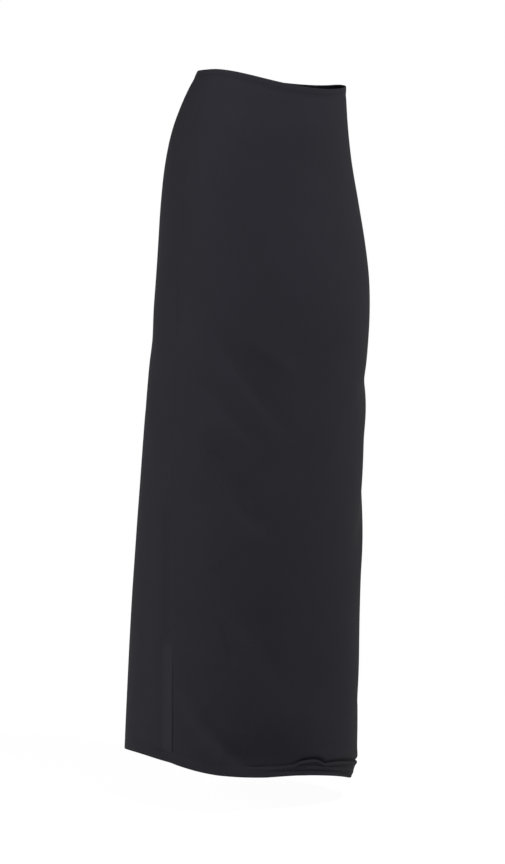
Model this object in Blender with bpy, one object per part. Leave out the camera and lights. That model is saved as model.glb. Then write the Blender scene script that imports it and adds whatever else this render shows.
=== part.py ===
import bisect
import bmesh
import bpy
import math
from collections import namedtuple
from mathutils import Vector

# Sizes are in metres and heights are drops below the middle of the waist, which is the
# origin. The front faces -y and the skirt's right side is -x. Angles turn from the
# centre front (0) to the left side seam (90), the centre back (180) and the right
# side seam (-90).
cloth_wall = 0.0014
seam_gap = 0.0003

# Turned waist edge with its elastic
casing_height = 0.009
casing_wall = 0.0026
casing_round = 0.0008
casing_proud = 0.0004

# The waist edge dips at the front, rises a little at the back and leans to the left
waist_front_dip = 0.0215
waist_back_rise = 0.008
waist_lean = 0.007
nip_depth = 0.0005
nip_below_edge = 0.013
nip_reach = 0.006

# The hem is turned up inside, and hangs lower on the left
hem_turn_up = 0.018
hem_wall = 0.0024
hem_level = 1.0801
hem_lean = 0.0147
HemDip = namedtuple("HemDip", "angle reach drop")
hem_dips = [
    HemDip(-122, 36, -0.0104),
    HemDip(-50, 28, 0.0065),
    HemDip(-26, 18, 0.0026),
    HemDip(54, 30, 0.0105),
]

# Level sections of the hollow form: two half ovals that meet at the side seams, each
# pushed out between its seam and its middle by its fullness.
Section = namedtuple(
    "Section", "drop sway half_width front back seam_y front_fullness back_fullness"
)
sections = [
    Section(0.000, 0.000, 0.123, 0.100, 0.103, 0.000, 0.000, 0.000),
    Section(0.045, -0.005, 0.133, 0.097, 0.131, 0.003, 0.005, 0.010),
    Section(0.090, -0.008, 0.142, 0.098, 0.148, 0.007, 0.010, 0.020),
    Section(0.140, -0.007, 0.152, 0.097, 0.154, 0.012, 0.015, 0.030),
    Section(0.200, -0.002, 0.162, 0.099, 0.159, 0.016, 0.020, 0.040),
    Section(0.260, 0.004, 0.169, 0.104, 0.167, 0.019, 0.020, 0.045),
    Section(0.320, 0.008, 0.174, 0.108, 0.173, 0.022, 0.020, 0.050),
    Section(0.380, 0.008, 0.176, 0.109, 0.178, 0.025, 0.020, 0.055),
    Section(0.460, 0.005, 0.175, 0.105, 0.186, 0.027, 0.020, 0.060),
    Section(0.600, 0.002, 0.173, 0.105, 0.201, 0.031, 0.020, 0.065),
    Section(0.800, 0.000, 0.170, 0.105, 0.229, 0.035, 0.020, 0.070),
    Section(1.100, 0.000, 0.168, 0.097, 0.271, 0.039, 0.020, 0.070),
]

# Soft folds: each runs from one angle and drop to another, bowed to one side, and
# stands out (rise above 0) or sinks in (below 0) over its reach to each side.
Fold = namedtuple("Fold", "angle drop end_angle end_drop bow reach rise")
drag_folds = [
    Fold(-55, 0.411, -14, 0.516, 0.009, 0.019, -0.0044),
    Fold(-42, 0.418, -18, 0.466, 0.000, 0.018, 0.0018),
    Fold(-58, 0.484, -35, 0.557, 0.000, 0.017, -0.0030),
    Fold(-58, 0.530, -36, 0.605, 0.000, 0.018, 0.0012),
    Fold(-55, 0.584, -30, 0.698, 0.005, 0.018, -0.0050),
    Fold(-56, 0.742, -31, 0.886, 0.002, 0.019, -0.0034),
    Fold(-50, 0.736, -27, 0.866, 0.000, 0.036, -0.0030),
    Fold(-78, 0.942, -46, 1.060, 0.004, 0.016, -0.0034),
    Fold(-62, 0.968, -24, 1.064, 0.000, 0.040, -0.0044),
    Fold(-88, 0.958, -56, 1.064, 0.000, 0.014, 0.0028),
    Fold(-36, 0.975, 4, 0.990, 0.000, 0.042, 0.0032),
    Fold(-54, 1.056, -4, 1.077, 0.000, 0.032, -0.0084),
    Fold(-26, 1.074, 16, 1.080, 0.000, 0.046, -0.0036),
]
left_folds = [
    Fold(78, 0.440, 34, 0.500, -0.004, 0.020, -0.0026),
    Fold(72, 0.470, 44, 0.560, -0.003, 0.018, 0.0018),
    Fold(62, 0.610, 36, 0.734, -0.004, 0.020, -0.0024),
    Fold(66, 0.650, 40, 0.790, -0.003, 0.018, 0.0016),
    Fold(76, 0.880, 52, 0.990, -0.004, 0.024, -0.0026),
]
back_folds = [
    Fold(-101, 0.640, -99, 1.062, 0.000, 0.014, 0.0028),
    Fold(-94, 0.640, -92, 1.062, 0.000, 0.014, -0.0028),
    Fold(-108, 0.560, -112, 1.060, 0.000, 0.034, -0.0024),
    Fold(-134, 0.520, -138, 1.066, 0.006, 0.040, 0.0040),
    Fold(-160, 0.600, -163, 1.070, 0.000, 0.040, -0.0050),
    Fold(174, 0.560, 177, 1.074, -0.004, 0.040, 0.0050),
    Fold(150, 0.640, 153, 1.074, 0.000, 0.036, -0.0052),
    Fold(129, 0.540, 127, 1.080, 0.004, 0.040, 0.0046),
    Fold(106, 0.600, 105, 1.080, 0.000, 0.032, -0.0024),
    Fold(-150, 0.330, -116, 0.440, 0.008, 0.028, -0.0024),
    Fold(146, 0.345, 114, 0.462, -0.008, 0.026, -0.0022),
    Fold(-120, 0.470, -104, 0.600, 0.004, 0.026, 0.0016),
]
folds = drag_folds + left_folds + back_folds
fold_radius = 0.170
fold_end_share = 0.35

# The hem breaks at the front left. At each angle the crease lies at its height above the
# edge, the cloth over it stands out, and the edge below it is tucked in.
BreakRow = namedtuple("BreakRow", "angle height over crease tuck")
break_rows = [
    BreakRow(-40, 0.0175, 0.0000, 0.0000, 0.0000),
    BreakRow(-26, 0.0165, 0.0002, 0.0006, 0.0000),
    BreakRow(-12, 0.0168, 0.0004, 0.0016, 0.0000),
    BreakRow(-7, 0.0225, 0.0006, 0.0030, 0.0002),
    BreakRow(-2, 0.0253, 0.0008, 0.0038, 0.0006),
    BreakRow(2, 0.0260, 0.0010, 0.0040, 0.0008),
    BreakRow(6, 0.0243, 0.0010, 0.0038, 0.0010),
    BreakRow(10, 0.0195, 0.0010, 0.0032, 0.0014),
    BreakRow(14, 0.0213, 0.0010, 0.0030, 0.0022),
    BreakRow(22, 0.0241, 0.0010, 0.0032, 0.0040),
    BreakRow(36, 0.0262, 0.0010, 0.0034, 0.0068),
    BreakRow(52, 0.0276, 0.0008, 0.0032, 0.0088),
    BreakRow(74, 0.0265, 0.0004, 0.0016, 0.0052),
    BreakRow(98, 0.0250, 0.0000, 0.0000, 0.0000),
]
over_rise = 0.0090
over_reach = 0.0080
crease_reach = 0.0044
tuck_limit = 1.1

# Grid of each panel: rows are close together at the hem
panel_columns = 34
body_rows = 41
hem_rows = 17
hem_zone = 0.052
slope_angle = 1.0
slope_drop = 0.006
merge_distance = 0.00005

black_jersey = (0.012, 0.011, 0.013, 1)
jersey_roughness = 0.85


def clear_scene():
    for item in list(bpy.data.objects):
        bpy.data.objects.remove(item, do_unlink=True)


def jersey(name):
    material = bpy.data.materials.new(name)
    material.use_nodes = True
    shader = material.node_tree.nodes["Principled BSDF"]
    shader.inputs["Base Color"].default_value = black_jersey
    shader.inputs["Roughness"].default_value = jersey_roughness
    shader.inputs["Metallic"].default_value = 0
    return material


def bell(offset, reach):
    return math.exp(-(offset / reach) ** 2)


def turn_between(angle, other):
    return (angle - other + 180) % 360 - 180


def table_value(table, name, at, before=0):
    # A cubic through the rows, placed by their first column, with each slope taken from
    # the rows beside it
    places = [row[0] for row in table]
    values = [getattr(row, name) for row in table]
    last = len(places) - 1
    low = min(max(bisect.bisect_right(places, at) - 1, 0), last - 1)

    def slope(row):
        back, ahead = max(row - 1, 0), min(row + 1, last)
        return (values[ahead] - values[back]) / (places[ahead] - places[back])

    span = places[low + 1] - places[low]
    t = min(max((at - places[low]) / span, before), 1)
    start, end = values[low], values[low + 1]
    return (
        start * (1 + 2 * t) * (1 - t) ** 2
        + end * t * t * (3 - 2 * t)
        + slope(low) * span * t * (1 - t) ** 2
        - slope(low + 1) * span * t * t * (1 - t)
    )


def section_value(name, drop):
    # The form carries on a little above its first section
    return table_value(sections, name, drop, before=-0.5)


def half_depth(angle, drop):
    if math.cos(math.radians(angle)) > 0:
        return section_value("seam_y", drop) + section_value("front", drop)
    return section_value("back", drop) - section_value("seam_y", drop)


def bare_form(angle, drop):
    turn = math.radians(angle)
    half = "front_fullness" if math.cos(turn) > 0 else "back_fullness"
    full = 1 + section_value(half, drop) * math.sin(2 * turn) ** 2
    across = section_value("half_width", drop) * math.sin(turn) * full
    along = half_depth(angle, drop) * math.cos(turn) * full
    x = section_value("sway", drop) + across
    return Vector((x, section_value("seam_y", drop) - along, -drop))


def outward(angle, drop):
    around = bare_form(angle + slope_angle, drop) - bare_form(angle - slope_angle, drop)
    down = bare_form(angle, drop + slope_drop) - bare_form(angle, drop - slope_drop)
    return down.cross(around).normalized()


def waist_line(angle):
    turn = math.radians(angle)
    level = waist_front_dip if math.cos(turn) > 0 else -waist_back_rise
    return level * math.cos(turn) ** 2 + waist_lean * (1 + math.sin(turn))


def hem_line(angle):
    dips = sum(dip.drop * bell(turn_between(angle, dip.angle), dip.reach) for dip in hem_dips)
    return hem_level + hem_lean * math.sin(math.radians(angle)) + dips


def fold_relief(fold, angle, drop):
    # Place along and beside the fold, on the cloth laid out flat
    along = Vector((
        math.radians(turn_between(fold.end_angle, fold.angle)) * fold_radius,
        fold.end_drop - fold.drop,
    ))
    here = Vector((
        math.radians(turn_between(angle, fold.angle)) * fold_radius,
        drop - fold.drop,
    ))
    length = along.length
    place = min(max(here.dot(along) / length ** 2, 0), 1)
    bow = along.orthogonal().normalized() * fold.bow * 4 * place * (1 - place)
    beside = (here - along * place - bow).length
    fade = fold_end_share + (1 - fold_end_share) * math.sin(math.pi * place)
    return fold.rise * fade * bell(beside, fold.reach)


def break_relief(angle, above_hem):
    turned = turn_between(angle, 0)
    height = table_value(break_rows, "height", turned)
    above = above_hem - height
    over = table_value(break_rows, "over", turned) * bell(above - over_rise, over_reach)
    crease = table_value(break_rows, "crease", turned) * bell(above, crease_reach)
    tucked = min(max(-above / height, 0), tuck_limit)
    return over - crease - table_value(break_rows, "tuck", turned) * tucked


def nip_relief(below_edge):
    return -nip_depth * bell(below_edge - nip_below_edge, nip_reach)


def wall_point(angle, drop, inside):
    relief = sum(fold_relief(fold, angle, drop) for fold in folds)
    relief += break_relief(angle, hem_line(angle) - drop)
    relief += nip_relief(drop - waist_line(angle))
    return bare_form(angle, drop) + outward(angle, drop) * (relief - inside)


def panel_drop(angle, row):
    top = waist_line(angle) + casing_height + seam_gap
    hem = hem_line(angle)
    if row <= body_rows:
        return top + (hem - hem_zone - top) * row / body_rows
    return hem - hem_zone * (1 - (row - body_rows) / hem_rows)


def finish(mesh_data, name, material):
    mesh = bpy.data.meshes.new(name)
    bmesh.ops.recalc_face_normals(mesh_data, faces=mesh_data.faces)
    mesh_data.to_mesh(mesh)
    mesh_data.free()
    mesh.materials.append(material)
    mesh.shade_smooth()
    item = bpy.data.objects.new(name, mesh)
    bpy.context.collection.objects.link(item)
    return item


def panel(name, first_angle, material):
    # A flat cut panel, thickened, then each point set on the hollow form
    rows = body_rows + hem_rows
    cloth = bmesh.new()
    bmesh.ops.create_grid(cloth, x_segments=panel_columns, y_segments=rows, size=0.5)
    layer = bmesh.ops.extrude_face_region(cloth, geom=cloth.faces[:], use_keep_orig=True)
    inner = {part for part in layer["geom"] if isinstance(part, bmesh.types.BMVert)}
    for vertex in cloth.verts:
        column = round((vertex.co.x + 0.5) * panel_columns)
        row = round((0.5 - vertex.co.y) * rows)
        angle = first_angle + 180 * column / panel_columns
        drop = panel_drop(angle, row)
        if column in (0, panel_columns):
            inward = 1 if column == 0 else -1
            middle = first_angle + 90
            angle += inward * math.degrees(seam_gap / 2 / half_depth(middle, drop))
        turned_up = hem_line(angle) - drop < hem_turn_up
        wall = hem_wall if turned_up else cloth_wall
        vertex.co = wall_point(angle, drop, wall if vertex in inner else 0)
    return finish(cloth, name, material)


def casing_profile():
    # The points round a thin upright band with softened edges
    half, top, soft = casing_wall / 2, casing_height, casing_round
    outside = [(half - soft, 0), (half, soft), (half, top - soft), (half - soft, top)]
    return outside + [(-across, up) for across, up in reversed(outside)]


def waist_casing(name, material):
    # A flat strip rolled round the waist line, its ends and long edges joined
    columns = 2 * panel_columns
    profile = casing_profile()
    band = bmesh.new()
    bmesh.ops.create_grid(band, x_segments=columns, y_segments=len(profile), size=0.5)
    for vertex in band.verts:
        column = round((vertex.co.x + 0.5) * columns) % columns
        across, up = profile[round((vertex.co.y + 0.5) * len(profile)) % len(profile)]
        angle = -90 + 360 * column / columns
        drop = waist_line(angle) + casing_height - up
        out = across - casing_wall / 2 + casing_proud
        vertex.co = bare_form(angle, drop) + outward(angle, drop) * out
    bmesh.ops.remove_doubles(band, verts=band.verts, dist=merge_distance)
    return finish(band, name, material)


clear_scene()
panel("front_panel", -90, jersey("front_jersey"))
panel("back_panel", 90, jersey("back_jersey"))
waist_casing("waist_casing", jersey("casing_jersey"))
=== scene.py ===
import bmesh
import bpy
import math
import numpy as np
from mathutils import Matrix, Vector, noise


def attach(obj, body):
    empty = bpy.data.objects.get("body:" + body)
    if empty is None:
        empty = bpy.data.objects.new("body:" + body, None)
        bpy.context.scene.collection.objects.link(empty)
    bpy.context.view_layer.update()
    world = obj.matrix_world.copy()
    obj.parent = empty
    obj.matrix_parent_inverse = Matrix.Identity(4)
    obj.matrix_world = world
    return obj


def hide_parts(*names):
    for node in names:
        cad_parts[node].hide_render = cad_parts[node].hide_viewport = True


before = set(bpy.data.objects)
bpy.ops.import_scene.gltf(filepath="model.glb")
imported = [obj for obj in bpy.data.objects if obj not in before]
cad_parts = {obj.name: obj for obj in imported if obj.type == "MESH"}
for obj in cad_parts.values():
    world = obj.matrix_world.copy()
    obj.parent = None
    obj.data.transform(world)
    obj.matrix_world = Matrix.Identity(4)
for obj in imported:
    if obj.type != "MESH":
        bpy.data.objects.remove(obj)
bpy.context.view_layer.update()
scene = bpy.context.scene

# Everything is in metres. Heights are drops below the waist, and angles turn from the
# centre front (0) to the left side seam (90), the back (180) and the right seam (-90).


def bell(offset, reach):
    return np.exp(-(offset / reach) ** 2)


def turnBetween(angle, other):
    return (angle - other + 180) % 360 - 180


def tableValue(table, name, at, before=0.0):
    # A cubic through the rows, with each slope taken from the rows beside it
    column = table["columns"].index(name)
    places = np.array([row[0] for row in table["rows"]], float)
    values = np.array([row[column] for row in table["rows"]], float)
    slopes = np.gradient(values, places)
    slopes[1:-1] = (values[2:] - values[:-2]) / (places[2:] - places[:-2])
    low = np.clip(np.searchsorted(places, at, side="right") - 1, 0, len(places) - 2)
    span = places[low + 1] - places[low]
    t = np.clip((at - places[low]) / span, before, 1)
    return (
        values[low] * (1 + 2 * t) * (1 - t) ** 2
        + values[low + 1] * t * t * (3 - 2 * t)
        + slopes[low] * span * t * (1 - t) ** 2
        - slopes[low + 1] * span * t * t * (1 - t)
    )


# The bare form under the cloth: level sections from the waist down, and its two edges
form = {
    "columns": ("drop", "sway", "halfWidth", "front", "back", "seamY", "frontFullness", "backFullness"),
    "rows": [
        (0.000, 0.000, 0.123, 0.100, 0.103, 0.000, 0.000, 0.000),
        (0.045, -0.005, 0.133, 0.097, 0.131, 0.003, 0.005, 0.010),
        (0.090, -0.008, 0.142, 0.098, 0.148, 0.007, 0.010, 0.020),
        (0.140, -0.007, 0.152, 0.097, 0.154, 0.012, 0.015, 0.030),
        (0.200, -0.002, 0.162, 0.099, 0.159, 0.016, 0.020, 0.040),
        (0.260, 0.004, 0.169, 0.104, 0.167, 0.019, 0.020, 0.045),
        (0.320, 0.008, 0.174, 0.108, 0.173, 0.022, 0.020, 0.050),
        (0.380, 0.008, 0.176, 0.109, 0.178, 0.025, 0.020, 0.055),
        (0.460, 0.005, 0.175, 0.105, 0.186, 0.027, 0.020, 0.060),
        (0.600, 0.002, 0.173, 0.105, 0.201, 0.031, 0.020, 0.065),
        (0.800, 0.000, 0.170, 0.105, 0.229, 0.035, 0.020, 0.070),
        (1.100, 0.000, 0.168, 0.097, 0.271, 0.039, 0.020, 0.070),
    ],
    "goesOnAbove": -0.5,    # above the first section, as a share of the first gap
    "waistFrontDip": 0.0215,
    "waistBackRise": 0.008,
    "waistLean": 0.007,
    "hemLevel": 1.0801,
    "hemLean": 0.0147,
    # Each: angle, reach, drop
    "hemDips": [(-122, 36, -0.0104), (-50, 28, 0.0065), (-26, 18, 0.0026), (54, 30, 0.0105)],
    "slopeTurn": 1,         # the steps to each side over which its slope is measured
    "slopeDrop": 0.006,
}


def formValue(name, drop):
    return tableValue(form, name, drop, before=form["goesOnAbove"])


def halfDepth(angle, drop):
    front = formValue("seamY", drop) + formValue("front", drop)
    back = formValue("back", drop) - formValue("seamY", drop)
    return np.where(np.cos(np.radians(angle)) > 0, front, back)


def bareForm(angle, drop):
    turn = np.radians(angle)
    inFront = np.cos(turn) > 0
    fullness = np.where(inFront, formValue("frontFullness", drop), formValue("backFullness", drop))
    full = 1 + fullness * np.sin(2 * turn) ** 2
    x = formValue("sway", drop) + formValue("halfWidth", drop) * np.sin(turn) * full
    y = formValue("seamY", drop) - halfDepth(angle, drop) * np.cos(turn) * full
    return np.stack([x, y, -drop + 0 * x], axis=-1)


def outward(angle, drop):
    aside, below = form["slopeTurn"], form["slopeDrop"]
    around = bareForm(angle + aside, drop) - bareForm(angle - aside, drop)
    down = bareForm(angle, drop + below) - bareForm(angle, drop - below)
    normal = np.cross(down, around)
    return normal / np.linalg.norm(normal, axis=-1, keepdims=True)


def waistLine(angle):
    turn = np.radians(angle)
    level = np.where(np.cos(turn) > 0, form["waistFrontDip"], -form["waistBackRise"])
    return level * np.cos(turn) ** 2 + form["waistLean"] * (1 + np.sin(turn))


def hemLine(angle):
    line = form["hemLevel"] + form["hemLean"] * np.sin(np.radians(angle))
    for place, reach, drop in form["hemDips"]:
        line = line + drop * bell(turnBetween(angle, place), reach)
    return line


folds = {
    "radius": 0.170,        # turns an angle into a distance round the form
    "endShare": 0.30,       # of the depth is left at the two ends of a fold
    "evenness": 0.55,       # below 1 a fold keeps its depth further towards its ends
    # Each: angle, drop, end angle, end drop, bow, reach, rise (less than 0 in a hollow),
    # and in some rows another reach on the lower side
    "rows": [
        (-64, 0.388, -19, 0.552, 0.003, 0.018, -0.0033, 0.010),
        (-45, 0.402, -15, 0.466, 0.000, 0.014, 0.0022),
        (-67, 0.472, -37, 0.566, 0.002, 0.016, -0.0026, 0.009),
        (-58, 0.530, -36, 0.605, 0.000, 0.018, 0.0010),
        (-62, 0.578, -32, 0.700, 0.009, 0.021, -0.0040, 0.011),
        (-58, 0.584, -39, 0.660, 0.000, 0.008, -0.0014, 0.005),
        (-59, 0.754, -26, 0.920, 0.002, 0.028, -0.0046, 0.014),
        (-50, 0.736, -27, 0.866, 0.000, 0.036, -0.0014),
        (-53.5, 0.850, -48, 0.902, 0.000, 0.0055, -0.0028, 0.004),
        (-80, 0.944, -46, 1.056, 0.003, 0.024, -0.0034, 0.011),
        (-66, 0.998, -40, 1.058, 0.004, 0.016, -0.0026, 0.009),
        (-62, 0.968, -24, 1.064, 0.000, 0.040, -0.0044),
        (-88, 0.958, -56, 1.064, 0.000, 0.014, 0.0028),
        (-36, 0.975, 4, 0.990, 0.000, 0.042, 0.0032),
        (-54, 1.056, -4, 1.077, 0.000, 0.032, -0.0084),
        (-26, 1.074, 16, 1.080, 0.000, 0.046, -0.0036),
        (78, 0.440, 34, 0.500, -0.004, 0.020, -0.0026),
        (72, 0.470, 44, 0.560, -0.003, 0.018, 0.0018),
        (62, 0.610, 36, 0.734, -0.004, 0.020, -0.0024),
        (66, 0.650, 40, 0.790, -0.003, 0.018, 0.0016),
        (76, 0.880, 52, 0.990, -0.004, 0.024, -0.0026),
        (-99, 0.660, -98, 1.062, 0.000, 0.010, 0.0013, 0.034),
        (-93.5, 0.660, -92.5, 1.062, 0.000, 0.010, -0.0018),
        (-108, 0.560, -112, 1.060, 0.000, 0.034, -0.0024),
        (-134, 0.520, -138, 1.066, 0.006, 0.040, 0.0040),
        (-160, 0.600, -163, 1.070, 0.000, 0.040, -0.0050),
        (174, 0.560, 177, 1.074, -0.004, 0.040, 0.0050),
        (150, 0.640, 153, 1.074, 0.000, 0.036, -0.0052),
        (129, 0.540, 127, 1.080, 0.004, 0.040, 0.0046),
        (106, 0.600, 105, 1.080, 0.000, 0.032, -0.0024),
        (-150, 0.330, -116, 0.440, 0.008, 0.028, -0.0024),
        (146, 0.345, 114, 0.462, -0.008, 0.026, -0.0022),
        (-120, 0.470, -104, 0.600, 0.004, 0.026, 0.0016),
    ],
}


def foldRelief(rows, angle, height):
    total = np.zeros(np.broadcast(angle, height).shape)
    for startAngle, startHeight, endAngle, endHeight, bow, reach, rise, *lower in rows:
        alongX = math.radians(turnBetween(endAngle, startAngle)) * folds["radius"]
        alongY = endHeight - startHeight
        length = math.hypot(alongX, alongY)
        x = np.radians(turnBetween(angle, startAngle)) * folds["radius"]
        y = height - startHeight
        place = np.clip((x * alongX + y * alongY) / length ** 2, 0, 1)
        bowed = bow * 4 * place * (1 - place)
        besideX = x - alongX * place + alongY / length * bowed
        besideY = y - alongY * place - alongX / length * bowed
        towardsMiddle = np.sin(math.pi * place) ** folds["evenness"]
        fade = folds["endShare"] + (1 - folds["endShare"]) * towardsMiddle
        below = (besideY * alongX - besideX * alongY) * math.copysign(1, alongX) > 0
        width = np.where(below, lower[0] if lower else reach, reach)
        total += rise * fade * bell(np.hypot(besideX, besideY), width)
    return total


# The hem rests in a break at the front left: a fold over a crease, a lip and a tucked edge
hemBreak = {
    "columns": ("angle", "height", "over", "crease", "lip", "tuck"),
    "rows": [
        (-40, 0.0175, 0.0000, 0.0000, 0.0000, 0.0000),
        (-26, 0.0165, 0.0002, 0.0006, 0.0004, 0.0000),
        (-12, 0.0168, 0.0004, 0.0012, 0.0006, 0.0000),
        (-10, 0.0180, 0.0004, 0.0024, 0.0010, 0.0001),
        (-7, 0.0225, 0.0006, 0.0034, 0.0018, 0.0002),
        (-2, 0.0253, 0.0008, 0.0040, 0.0020, 0.0006),
        (2, 0.0260, 0.0010, 0.0042, 0.0020, 0.0008),
        (6, 0.0243, 0.0010, 0.0040, 0.0018, 0.0010),
        (10, 0.0195, 0.0010, 0.0034, 0.0012, 0.0014),
        (14, 0.0213, 0.0010, 0.0032, 0.0012, 0.0022),
        (22, 0.0241, 0.0010, 0.0034, 0.0014, 0.0040),
        (36, 0.0262, 0.0010, 0.0036, 0.0014, 0.0068),
        (52, 0.0276, 0.0008, 0.0034, 0.0014, 0.0088),
        (74, 0.0265, 0.0004, 0.0018, 0.0008, 0.0052),
        (98, 0.0250, 0.0000, 0.0000, 0.0000, 0.0000),
    ],
    "overRise": 0.0090,
    "overReach": 0.0080,
    "creaseAbove": 0.0030,
    "creaseBelow": 0.0014,
    "lipFall": 0.0042,
    "lipReach": 0.0028,
    "tuckMost": 1.1,
    # Each: angle, height above the hem, end angle, end height, bow, reach, rise
    "smallFolds": [
        (-103, 0.0160, -93, 0.0150, 0.0000, 0.0016, -0.0012),
        (-1, 0.0152, 24, 0.0140, 0.0000, 0.0014, -0.0011),
        (-20, 0.0068, 26, 0.0066, 0.0000, 0.0017, -0.0017),
        (-8, 0.0034, 34, 0.0046, 0.0000, 0.0014, -0.0010),
        (30, 0.0120, 52, 0.0080, 0.0000, 0.0026, 0.0012),
        (-38, 0.0162, -27, 0.0166, 0.0000, 0.0013, -0.0010),
        (-27, 0.0118, -17, 0.0124, 0.0000, 0.0016, 0.0009),
    ],
}


def breakRelief(angle, aboveHem):
    turned = turnBetween(angle, 0)
    fold = {name: tableValue(hemBreak, name, turned) for name in hemBreak["columns"][1:]}
    above = aboveHem - fold["height"]
    creaseReach = np.where(above > 0, hemBreak["creaseAbove"], hemBreak["creaseBelow"])
    return (
        fold["over"] * bell(above - hemBreak["overRise"], hemBreak["overReach"])
        - fold["crease"] * bell(above, creaseReach)
        + fold["lip"] * bell(above + hemBreak["lipFall"], hemBreak["lipReach"])
        - fold["tuck"] * np.clip(-above / fold["height"], 0, hemBreak["tuckMost"])
        + foldRelief(hemBreak["smallFolds"], angle, aboveHem)
    )


seam = {
    # How far from the seam the nearest columns of points lie
    "edges": (0.0, 0.00012, 0.0006, 0.0014, 0.0026, 0.0042, 0.0065, 0.0095),
    "gap": 0.00006,
    "rollWidth": 0.0036,
    "rollDepth": 0.00008,
    "lowDepth": 0.0022,         # the seam sinks deeper towards the hem stitches
    "lowFrom": 0.84,
    "lowReach": 0.12,
    "endReach": 0.003,          # and runs out above them
    # Where the painted highlight lies over the pressed seam edges
    "pressedHighlightFrom": 0.86,
    "pressedHighlightReach": 0.03,
    "pressedHighlightTo": 0.024,         # double cloth behind the seam, pressed flat, with a painted highlight that makes it a little paler
    "pressedHighlightSoft": 0.005,
    "pressedHighlightSteepness": 3,
    "pucker": 0.00022,          # small waves beside the seam
    "puckerLength": 0.016,
    "puckerReach": 0.012,
    "puckerSeed": 9.1,
}


def unevenness(arc, drop, length, seed):
    return np.array([
        noise.noise(Vector((a / length, d / length, seed)))
        for a, d in zip(np.ravel(arc), np.ravel(drop))
    ]).reshape(np.shape(arc))


def lowSeam(angle, drop, start, reach):
    # How strongly the side seam shows: more towards the hem, and not below its stitches
    lower = np.clip((drop - start) / reach, 0, 1)
    aboveStitches = hemLine(angle) - drop - stitching["hemRows"][0]
    return lower * lower * (3 - 2 * lower) * np.clip(aboveStitches / seam["endReach"], 0, 1)


def pressedHighlightShare(angle, drop):
    # The seam's edges are pressed towards the back, and a painted highlight lifts the colour over them
    behind = np.abs(turnBetween(angle, 0)) - 90
    fromSeam = np.radians(behind) * halfDepth(angle, drop)
    past = (fromSeam - seam["pressedHighlightTo"]) / seam["pressedHighlightSoft"] * seam["pressedHighlightSteepness"]
    near = 1 / (1 + np.exp(past))
    return np.where(behind > 0, near, 0) * lowSeam(angle, drop, seam["pressedHighlightFrom"], seam["pressedHighlightReach"])


def seamRelief(angle, drop):
    # The groove and the small waves beside a side seam
    beside = np.abs(np.abs(turnBetween(angle, 0)) - 90)
    fromSeam = np.radians(beside) * halfDepth(angle, drop)
    deeper = lowSeam(angle, drop, seam["lowFrom"], seam["lowReach"])
    depth = seam["rollDepth"] + seam["lowDepth"] * deeper
    side = np.sign(np.sin(np.radians(angle)))
    waves = unevenness(side * seam["puckerLength"], drop, seam["puckerLength"], seam["puckerSeed"])
    roll = np.clip(1 - fromSeam / seam["rollWidth"], 0, 1) ** 2
    return seam["pucker"] * waves * bell(fromSeam, seam["puckerReach"]) - depth * roll


cloth = {
    "wall": 0.0008,
    "hemFold": 0.0010,      # half the depth of the turned edge
    "hemFoldSteps": 6,
    "hemTurnUp": 0.018,
    "hemZone": 0.052,       # the height above the hem where the rows are an even step apart
    "hemStep": 0.0008,
    "bodyRows": 230,
    "columns": 138,
    "nipDepth": 0.0005,     # the casing's elastic draws the cloth in, most at nipBelow
    "nipBelow": 0.004,
    "nipReach": 0.006,
    # How far below the waist line, and how far inside the form, where the casing laps over
    "underCasing": [
        (0.0060, 0.00090),
        (0.0080, 0.00090),
        (0.00888, 0.00090),
        (0.00903, 0.00040),
        (0.00912, 0.00008),
        (0.0094, 0.00002),
        (0.0098, 0.00000),
    ],
    "topStart": 0.0009,     # from the last of these to the next row
    "topStep": 0.0017,
    "topEnd": 0.016,
    "swell": 0.0007,        # the soft unevenness of the whole cloth
    "swellLength": 0.11,
    "swellFrom": 0.030,     # full at this distance below the casing
    "swellSeed": 3.7,
}


def wallPoint(angle, drop, inside):
    arc = np.radians(angle) * folds["radius"]
    aboveHem = hemLine(angle) - drop
    relief = foldRelief(folds["rows"], angle, drop) + breakRelief(angle, aboveHem) + seamRelief(angle, drop)
    belowCasing = drop - waistLine(angle) - casing["height"]
    nip = bell(belowCasing - cloth["nipBelow"], cloth["nipReach"])
    nip = nip * np.clip(belowCasing / cloth["nipBelow"], 0, 1)
    relief -= cloth["nipDepth"] * nip
    settled = np.clip(belowCasing / cloth["swellFrom"], 0, 1)
    relief += cloth["swell"] * settled * unevenness(arc, drop, cloth["swellLength"], cloth["swellSeed"])
    for row in stitching["hemRows"]:
        relief -= stitching["grooveDepth"] * bell(aboveHem - row, stitching["grooveReach"])
    return bareForm(angle, drop) + outward(angle, drop) * (relief - inside)[..., None]


jerseyLook = {
    "colour": (0.0104, 0.0098, 0.0127, 1),
    "roughness": 0.80,
    "specular": 0.05,
    "ribPitch": 0.0009,
    "ribDistortion": 0.6,
    "ribDetail": 1.0,
    "ribDetailScale": 0.6,
    "loopPitch": 0.0008,
    "loopDistortion": 0.8,
    "loopShare": 0.45,      # of the height of the ribs
    "cloudScale": 14.0,
    "cloudDetail": 3,
    "cloudDepth": 0.08,
    # how much the painted highlight over the pressed seam edges lifts the colour
    "pressedHighlightLift": 0.30,
    "bump": 0.5,
    "bumpDepth": 0.00012,
}

threadLook = {
    "colour": (0.0120, 0.0112, 0.0134, 1),
    "roughness": 0.75,
    "specular": 0.10,
    "twistPitch": 0.0004,
    "bump": 0.4,
    "bumpDepth": 0.00005,
}

waveLength = 0.314      # of a wave texture at scale 1


def nodes(owner):
    owner.use_nodes = True
    return owner.node_tree.nodes, owner.node_tree.links


def bumpedShader(tree, look):
    shader = tree["Principled BSDF"]
    shader.inputs["Roughness"].default_value = look["roughness"]
    shader.inputs["Specular IOR Level"].default_value = look["specular"]
    bump = tree.new("ShaderNodeBump")
    bump.inputs["Strength"].default_value = look["bump"]
    bump.inputs["Distance"].default_value = look["bumpDepth"]
    return shader, bump


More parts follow.
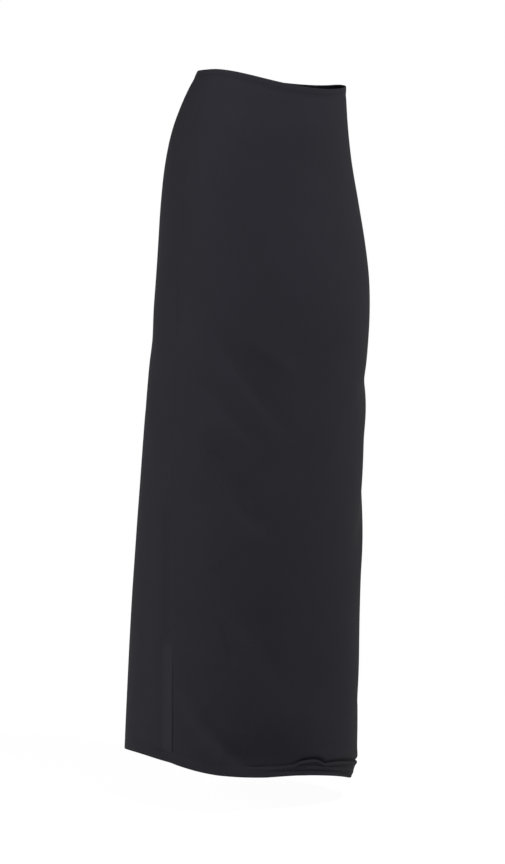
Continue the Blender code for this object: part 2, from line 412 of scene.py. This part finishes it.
def bands(tree, direction, pitch, distortion):
    wave = tree.new("ShaderNodeTexWave")
    wave.wave_type = "BANDS"
    wave.bands_direction = direction
    wave.inputs["Scale"].default_value = waveLength / pitch
    wave.inputs["Distortion"].default_value = distortion
    return wave


def mathStep(tree, operation, factor=1):
    step = tree.new("ShaderNodeMath")
    step.operation = operation
    step.inputs[1].default_value = factor
    return step


def jerseyMaterial(name, look):
    material = bpy.data.materials.new(name)
    tree, links = nodes(material)
    shader, bump = bumpedShader(tree, look)
    place = tree.new("ShaderNodeUVMap")
    place.uv_map = "flatCut"
    # Fine upright ribs of the knit, crossed by its rows of loops
    ribs = bands(tree, "X", look["ribPitch"], look["ribDistortion"])
    ribs.inputs["Detail"].default_value = look["ribDetail"]
    ribs.inputs["Detail Scale"].default_value = look["ribDetailScale"]
    loops = bands(tree, "Y", look["loopPitch"], look["loopDistortion"])
    knit = mathStep(tree, "MULTIPLY_ADD", look["loopShare"])
    # Faint clouds of shade over the cloth, and a painted highlight over the pressed seam edges behind the
    # seams
    cloud = tree.new("ShaderNodeTexNoise")
    cloud.inputs["Scale"].default_value = look["cloudScale"]
    cloud.inputs["Detail"].default_value = look["cloudDetail"]
    shade = tree.new("ShaderNodeMapRange")
    shade.inputs["To Min"].default_value = 1 - look["cloudDepth"]
    shade.inputs["To Max"].default_value = 1 + look["cloudDepth"]
    # Painted highlight: the colour is lifted where the pressed seam edges lie
    pressedHighlight = tree.new("ShaderNodeAttribute")
    pressedHighlight.attribute_name = "pressedHighlight"
    paintedHighlightLift = mathStep(tree, "MULTIPLY_ADD", look["pressedHighlightLift"])
    paintedHighlightLift.inputs[2].default_value = 1
    cloudAndHighlight = mathStep(tree, "MULTIPLY")
    colour = tree.new("ShaderNodeMix")
    colour.data_type = "RGBA"
    colour.blend_type = "MULTIPLY"
    colour.inputs["Factor"].default_value = 1
    colour.inputs["A"].default_value = look["colour"]
    links.new(place.outputs["UV"], ribs.inputs["Vector"])
    links.new(place.outputs["UV"], loops.inputs["Vector"])
    links.new(loops.outputs["Fac"], knit.inputs[0])
    links.new(ribs.outputs["Fac"], knit.inputs[2])
    links.new(knit.outputs["Value"], bump.inputs["Height"])
    links.new(bump.outputs["Normal"], shader.inputs["Normal"])
    links.new(place.outputs["UV"], cloud.inputs["Vector"])
    links.new(cloud.outputs["Fac"], shade.inputs["Value"])
    links.new(pressedHighlight.outputs["Fac"], paintedHighlightLift.inputs[0])
    links.new(shade.outputs["Result"], cloudAndHighlight.inputs[0])
    links.new(paintedHighlightLift.outputs["Value"], cloudAndHighlight.inputs[1])
    links.new(cloudAndHighlight.outputs["Value"], colour.inputs["B"])
    links.new(colour.outputs["Result"], shader.inputs["Base Color"])
    return material


def threadMaterial(name, look):
    material = bpy.data.materials.new(name)
    tree, links = nodes(material)
    shader, bump = bumpedShader(tree, look)
    shader.inputs["Base Color"].default_value = look["colour"]
    place = tree.new("ShaderNodeTexCoord")
    twist = tree.new("ShaderNodeTexWave")
    twist.inputs["Scale"].default_value = waveLength / look["twistPitch"]
    links.new(place.outputs["Object"], twist.inputs["Vector"])
    links.new(twist.outputs["Fac"], bump.inputs["Height"])
    links.new(bump.outputs["Normal"], shader.inputs["Normal"])
    return material


def finishMesh(work, name, material):
    mesh = bpy.data.meshes.new(name)
    work.to_mesh(mesh)
    work.free()
    mesh.materials.append(material)
    mesh.shade_smooth()
    piece = bpy.data.objects.new(name, mesh)
    scene.collection.objects.link(piece)
    return piece


def joinPieces(name, pieces):
    work = bmesh.new()
    for piece in pieces:
        work.from_mesh(piece.data)
    material = pieces[0].data.materials[0]
    for piece in pieces:
        bpy.data.objects.remove(piece, do_unlink=True)
    return finishMesh(work, name, material)


def flatCut(name, points, flat, material, mergeWithin=None, pressedHighlight=None):
    # A flat grid, each point then set on the form; flat keeps where it lay in the cut
    rows, columns = points.shape[:2]
    half = 0.5
    work = bmesh.new()
    bmesh.ops.create_grid(work, x_segments=columns - 1, y_segments=rows - 1, size=half)
    cut = work.loops.layers.uv.new("flatCut")
    work.verts.index_update()
    spot = {}
    for vertex in work.verts:
        column = round((vertex.co.x + half) * (columns - 1))
        row = round((half - vertex.co.y) * (rows - 1))
        spot[vertex.index] = (row, column)
    for face in work.faces:
        for loop in face.loops:
            loop[cut].uv = flat[spot[loop.vert.index]]
    # The share of the painted highlight at each point, kept as an attribute
    if pressedHighlight is not None:
        layer = work.verts.layers.float.new("pressedHighlight")
        for vertex in work.verts:
            vertex[layer] = pressedHighlight[spot[vertex.index]]
    for vertex in work.verts:
        vertex.co = points[spot[vertex.index]]
    if mergeWithin is not None:
        bmesh.ops.remove_doubles(work, verts=work.verts, dist=mergeWithin)
    return finishMesh(work, name, material)


def thicken(piece, wall):
    solid = piece.modifiers.new("wall", "SOLIDIFY")
    solid.thickness = wall
    solid.offset = -1
    solid.use_even_offset = True
    return piece


def panelRows():
    # Each row is a share of the way from waist to hem, a distance on from it, and how far inside
    rows = [(0, below, inside) for below, inside in cloth["underCasing"]]
    below = cloth["underCasing"][-1][0] + cloth["topStart"]
    while below < cloth["topEnd"]:
        rows.append((0, below, 0))
        below += cloth["topStep"]
    for step in range(cloth["bodyRows"] + 1):
        share = step / cloth["bodyRows"]
        rows.append((share, cloth["topEnd"] * (1 - share) - cloth["hemZone"] * share, 0))
    fold = cloth["hemFold"]
    steps = round((cloth["hemZone"] - fold) / cloth["hemStep"])
    for step in range(1, steps + 1):
        rows.append((1, -cloth["hemZone"] + (cloth["hemZone"] - fold) * step / steps, 0))
    for step in range(1, cloth["hemFoldSteps"] + 1):
        turn = math.pi * step / cloth["hemFoldSteps"]
        rows.append((1, -fold + fold * math.sin(turn), fold - fold * math.cos(turn)))
    up = fold
    while up < cloth["hemTurnUp"]:
        up += 2 * cloth["hemStep"]
        rows.append((1, -up, 2 * fold))
    return rows


def panelAngles(firstAngle, drop):
    # Close together at the side seams, even between
    depth = halfDepth(firstAngle + 90, drop)
    gap = np.degrees(seam["gap"] / 2 / depth)
    edges = [np.degrees(step / depth) + gap for step in seam["edges"]]
    farEdges = [180 - edge for edge in edges[::-1]]
    count = cloth["columns"] - 2 * len(edges) + 2
    first, last = edges[-1], 180 - edges[-1]
    middle = [first + (last - first) * step / (count - 1) for step in range(1, count - 1)]
    return np.stack([firstAngle + part for part in edges + middle + farEdges], axis=-1)


def clothPanel(name, firstAngle, material):
    rows = panelRows()
    share, offset, inside = (np.array(part) for part in zip(*rows))
    middle = firstAngle + 90
    roughDrop = waistLine(middle) * (1 - share) + hemLine(middle) * share + offset
    angle = panelAngles(firstAngle, roughDrop)
    drop = waistLine(angle) * (1 - share[:, None]) + hemLine(angle) * share[:, None] + offset[:, None]
    deep = np.broadcast_to(inside[:, None], angle.shape)
    points = wallPoint(angle, drop, deep)
    outer = wallPoint(angle, drop, 0 * deep)
    across = np.linalg.norm(np.diff(outer, axis=1), axis=-1)
    u = np.concatenate([np.zeros((len(rows), 1)), np.cumsum(across, axis=1)], axis=1)
    u -= u[:, u.shape[1] // 2][:, None]
    along = np.linalg.norm(np.diff(points, axis=0), axis=-1)
    v = np.concatenate([np.zeros((1, angle.shape[1])), np.cumsum(along, axis=0)], axis=0)
    flat = np.stack([u, -v], axis=-1)
    # with the share of the painted highlight over the pressed seam edges
    piece = flatCut(name, points, flat, material, pressedHighlight=pressedHighlightShare(angle, drop))
    return thicken(piece, cloth["wall"])


seamInside = {
    "edges": (0.0002, 0.0006, 0.0014, 0.0026, 0.0042, 0.0065, 0.0080),
    "inside": 0.00083,
    "wall": 0.0003,
    "top": 0.0066,
    "aboveHem": 0.0024,
    "rows": 240,
}


def seamStrips(name, material):
    # The edges of both panels, laid flat inside each side seam
    share = np.linspace(0, 1, seamInside["rows"] + 1)[:, None]
    steps = np.array([-step for step in seamInside["edges"][::-1]] + list(seamInside["edges"]))[None, :]
    pieces = []
    for middle in (-90, 90):
        top = waistLine(middle) + seamInside["top"]
        bottom = hemLine(middle) - seamInside["aboveHem"]
        drop = top * (1 - share) + bottom * share
        angle = middle + np.degrees(steps / halfDepth(middle + np.sign(steps), drop))
        drop = np.broadcast_to(drop, angle.shape)
        points = wallPoint(angle, drop, np.full(angle.shape, seamInside["inside"]))
        flat = np.stack([np.broadcast_to(steps, angle.shape), -drop], axis=-1)
        pieces.append(flatCut(name + str(middle), points, flat, material))
    return thicken(joinPieces(name, pieces), seamInside["wall"])


casing = {
    "height": 0.009,
    "proud": 0.0002,
    "depth": 0.0028,
    "wall": 0.0008,
    "columns": 300,
    "sideRows": 6,
    "sideShare": 0.86,      # of the height is shared out among the side rows
    "turnRows": 6,
    "firstStep": 0.00012,
    "edgeTurn": 0.0002,     # how far the lower edge curves in
    "edgeTurnHeight": 0.0020,
    "radius": 0.112,
    "flatHeight": 0.02,
    "ripple": 0.00012,
    "rippleLength": 0.009,
    "rippleSeed": 0.3,
    "mergeWithin": 0.00002,
}


def casingRing(name, material):
    # Up the outside, over the top and down the inside, and then all round
    half = casing["depth"] / 2
    sideShare = casing["sideShare"]
    path = [(half, 0), (half, casing["firstStep"])]
    for step in range(1, casing["sideRows"]):
        path.append((half, casing["height"] * step / casing["sideRows"] * sideShare))
    top = casing["height"] - half
    for step in range(casing["turnRows"] + 1):
        turn = math.pi * step / casing["turnRows"]
        path.append((half * math.cos(turn), top + half * math.sin(turn)))
    for step in range(1, casing["sideRows"] + 1):
        path.append((-half, casing["height"] * sideShare * (1 - step / casing["sideRows"])))
    across, up = (np.array(part)[:, None] for part in zip(*path[::-1]))
    angle = -90 + 360 * np.arange(casing["columns"] + 1)[None, :] / casing["columns"]
    angle, up, across = np.broadcast_arrays(angle, up, across)
    wave = []
    for turn in np.radians(turnBetween(angle[0], 0)):
        place = Vector((math.sin(turn), math.cos(turn), casing["rippleSeed"]))
        wave.append(noise.noise(place * casing["radius"] / casing["rippleLength"]))
    drop = waistLine(angle) + casing["height"] - up
    edge = np.clip(1 - up / casing["edgeTurnHeight"], 0, 1) ** 2 * (across > 0)
    out = across - half + casing["proud"] + casing["ripple"] * np.array(wave)[None, :] * np.sign(across)
    out = out - casing["edgeTurn"] * edge
    points = bareForm(angle, drop) + outward(angle, drop) * out[..., None]
    height = np.broadcast_to(np.linspace(0, casing["flatHeight"], len(path))[:, None], angle.shape)
    flat = np.stack([np.radians(angle) * casing["radius"], height], axis=-1)
    ring = flatCut(name, points, flat, material, mergeWithin=casing["mergeWithin"])
    return thicken(ring, casing["wall"])


stitching = {
    "length": 0.0026,
    "gap": 0.0008,
    "radius": 0.00014,
    "sides": 6,
    "rings": 4,
    "hemRows": (0.0150, 0.0178),   # above the hem edge
    "hemStart": 1.0,               # degrees from the side seams
    "hemSamples": 700,
    "hemLift": 0.00005,
    "casingRow": 0.0016,           # above the lower edge of the casing
    "casingEnd": 1.5,              # degrees short of a whole turn
    "casingSamples": 900,
    "casingLift": 0.00003,
    "grooveDepth": 0.00022,
    "grooveReach": 0.0011,
}


def stitchLine(name, points, normals, material):
    # One small bead of thread for each stitch, laid along the cloth
    work = bmesh.new()
    lengths = np.concatenate([[0], np.cumsum(np.linalg.norm(np.diff(points, axis=0), axis=1))])
    pitch = stitching["length"] + stitching["gap"]
    size = Matrix.Diagonal((stitching["radius"], stitching["radius"], stitching["length"] / 2, 1))

    def pick(values, at):
        return Vector([np.interp(at, lengths, values[:, axis]) for axis in range(3)])

    for index in range(int(lengths[-1] / pitch)):
        at = (index + 0.5) * pitch
        middle = pick(points, at)
        normal = pick(normals, at).normalized()
        along = (pick(points, at + pitch / 3) - middle).normalized()
        side = normal.cross(along).normalized()
        turn = Matrix((side, normal, along)).transposed().to_4x4()
        bmesh.ops.create_uvsphere(
            work, u_segments=stitching["sides"], v_segments=stitching["rings"], radius=1,
            matrix=Matrix.Translation(middle) @ turn @ size,
        )
    return finishMesh(work, name, material)


def hemStitches(name, firstAngle, material):
    start = firstAngle + stitching["hemStart"]
    end = firstAngle + 180 - stitching["hemStart"]
    angles = np.linspace(start, end, stitching["hemSamples"])
    rows = []
    for number, above in enumerate(stitching["hemRows"]):
        drop = hemLine(angles) - above
        normals = outward(angles, drop)
        points = wallPoint(angles, drop, 0 * angles) + normals * stitching["hemLift"]
        rows.append(stitchLine(name + str(number), points, normals, material))
    return joinPieces(name, rows)


def casingStitches(name, material):
    angles = np.linspace(-90, 270 - stitching["casingEnd"], stitching["casingSamples"])
    drop = waistLine(angles) + casing["height"] - stitching["casingRow"]
    normals = outward(angles, drop)
    points = bareForm(angles, drop) + normals * (casing["proud"] + stitching["casingLift"])
    return stitchLine(name, points, normals, material)


stage = {
    "floorHeight": -1.135,
    "floorRadius": 1.4,
    "floorSides": 96,
    "floorColour": (0.06, 0.06, 0.06, 1),
    "floorRoughness": 0.9,
    "floorSpecular": 0.1,
    "floorGlow": 0.96,
    "white": 1.0,
    "whiteUpTo": 0.10,      # the upright part of the direction
    "dimFrom": 0.20,
    "dim": 0.05,
    "lampDistance": 2.6,
    "lamps": {
        "leftLamp": {"azimuth": -115, "height": -0.2, "aim": -0.5, "size": 1.0, "power": 74},
        "keyLamp": {"azimuth": -8, "height": 2.8, "aim": -0.5, "size": 0.9, "power": 329},
        "rimLamp": {"azimuth": 80, "height": -0.5, "aim": -0.6, "size": 1.0, "power": 15},
    },
}


def buildStage():
    work = bmesh.new()
    bmesh.ops.create_circle(work, cap_ends=True, segments=stage["floorSides"], radius=stage["floorRadius"])
    bmesh.ops.translate(work, vec=(0, 0, stage["floorHeight"]), verts=work.verts)
    material = bpy.data.materials.new("paleFloor")
    tree, links = nodes(material)
    shader = tree["Principled BSDF"]
    shader.inputs["Base Color"].default_value = stage["floorColour"]
    shader.inputs["Roughness"].default_value = stage["floorRoughness"]
    shader.inputs["Specular IOR Level"].default_value = stage["floorSpecular"]
    shader.inputs["Emission Color"].default_value = (1, 1, 1, 1)
    shader.inputs["Emission Strength"].default_value = stage["floorGlow"]
    floor = finishMesh(work, "floor", material)
    buildSky()
    for name, lamp in stage["lamps"].items():
        softLight(name, lamp)


def buildSky():
    # White round the horizon, which the camera sees, and dim above for a clear light direction
    world = bpy.data.worlds.new("studio")
    scene.world = world
    tree, links = nodes(world)
    direction = tree.new("ShaderNodeTexCoord")
    parts = tree.new("ShaderNodeSeparateXYZ")
    ramp = tree.new("ShaderNodeMapRange")
    ramp.inputs["From Min"].default_value = stage["whiteUpTo"]
    ramp.inputs["From Max"].default_value = stage["dimFrom"]
    ramp.inputs["To Min"].default_value = stage["white"]
    ramp.inputs["To Max"].default_value = stage["dim"]
    links.new(direction.outputs["Generated"], parts.inputs["Vector"])
    links.new(parts.outputs["Z"], ramp.inputs["Value"])
    links.new(ramp.outputs["Result"], tree["Background"].inputs["Strength"])
    tree["Background"].inputs["Color"].default_value = (1, 1, 1, 1)


def placeAt(thing, azimuth, distance, height):
    turn = math.radians(azimuth)
    thing.location = (distance * math.sin(turn), -distance * math.cos(turn), height)


def softLight(name, lamp):
    light = bpy.data.lights.new(name, "AREA")
    light.size = lamp["size"]
    light.energy = lamp["power"]
    holder = bpy.data.objects.new(name, light)
    scene.collection.objects.link(holder)
    placeAt(holder, lamp["azimuth"], stage["lampDistance"], lamp["height"])
    aim = Vector((0, 0, lamp["aim"])) - holder.location
    holder.rotation_euler = aim.to_track_quat("-Z", "Y").to_euler()


camera = {
    "azimuth": -40.0,
    "distance": 5.0,
    "height": -0.34,
    "tiltDown": 2.470,
    "turnLeft": 0.350,
    "lens": 230.0,
    "sensorWidth": 36,
    "seesTo": 100,
}


def buildCamera():
    data = bpy.data.cameras.new("photographView")
    data.lens = camera["lens"]
    data.sensor_fit = "HORIZONTAL"
    data.sensor_width = camera["sensorWidth"]
    data.clip_end = camera["seesTo"]
    eye = bpy.data.objects.new("photographView", data)
    scene.collection.objects.link(eye)
    placeAt(eye, camera["azimuth"], camera["distance"], camera["height"])
    tilt = math.radians(90 - camera["tiltDown"])
    eye.rotation_euler = (tilt, 0, math.radians(camera["azimuth"] + camera["turnLeft"]))
    scene.camera = eye


buildCamera()
scene.view_settings.view_transform = "Standard"
print("camera placed")

jersey = jerseyMaterial("blackJersey", jerseyLook)
thread = threadMaterial("blackThread", threadLook)
frontPanel = clothPanel("frontPanelCloth", -90, jersey)
backPanel = clothPanel("backPanelCloth", 90, jersey)
sideSeams = seamStrips("sideSeamEdges", jersey)
print("panels laid on the form")
waistCasing = casingRing("waistCasingCloth", jersey)
print("waist casing rolled")
frontStitches = hemStitches("frontHemStitches", -90, thread)
backStitches = hemStitches("backHemStitches", 90, thread)
topStitches = casingStitches("casingStitches", thread)
print("hem and casing stitched")

for piece in (frontPanel, backPanel, sideSeams, waistCasing, frontStitches, backStitches, topStitches):
    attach(piece, "root")
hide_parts("front_panel")
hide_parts("back_panel")
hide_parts("waist_casing")

buildStage()
print("stage lit")
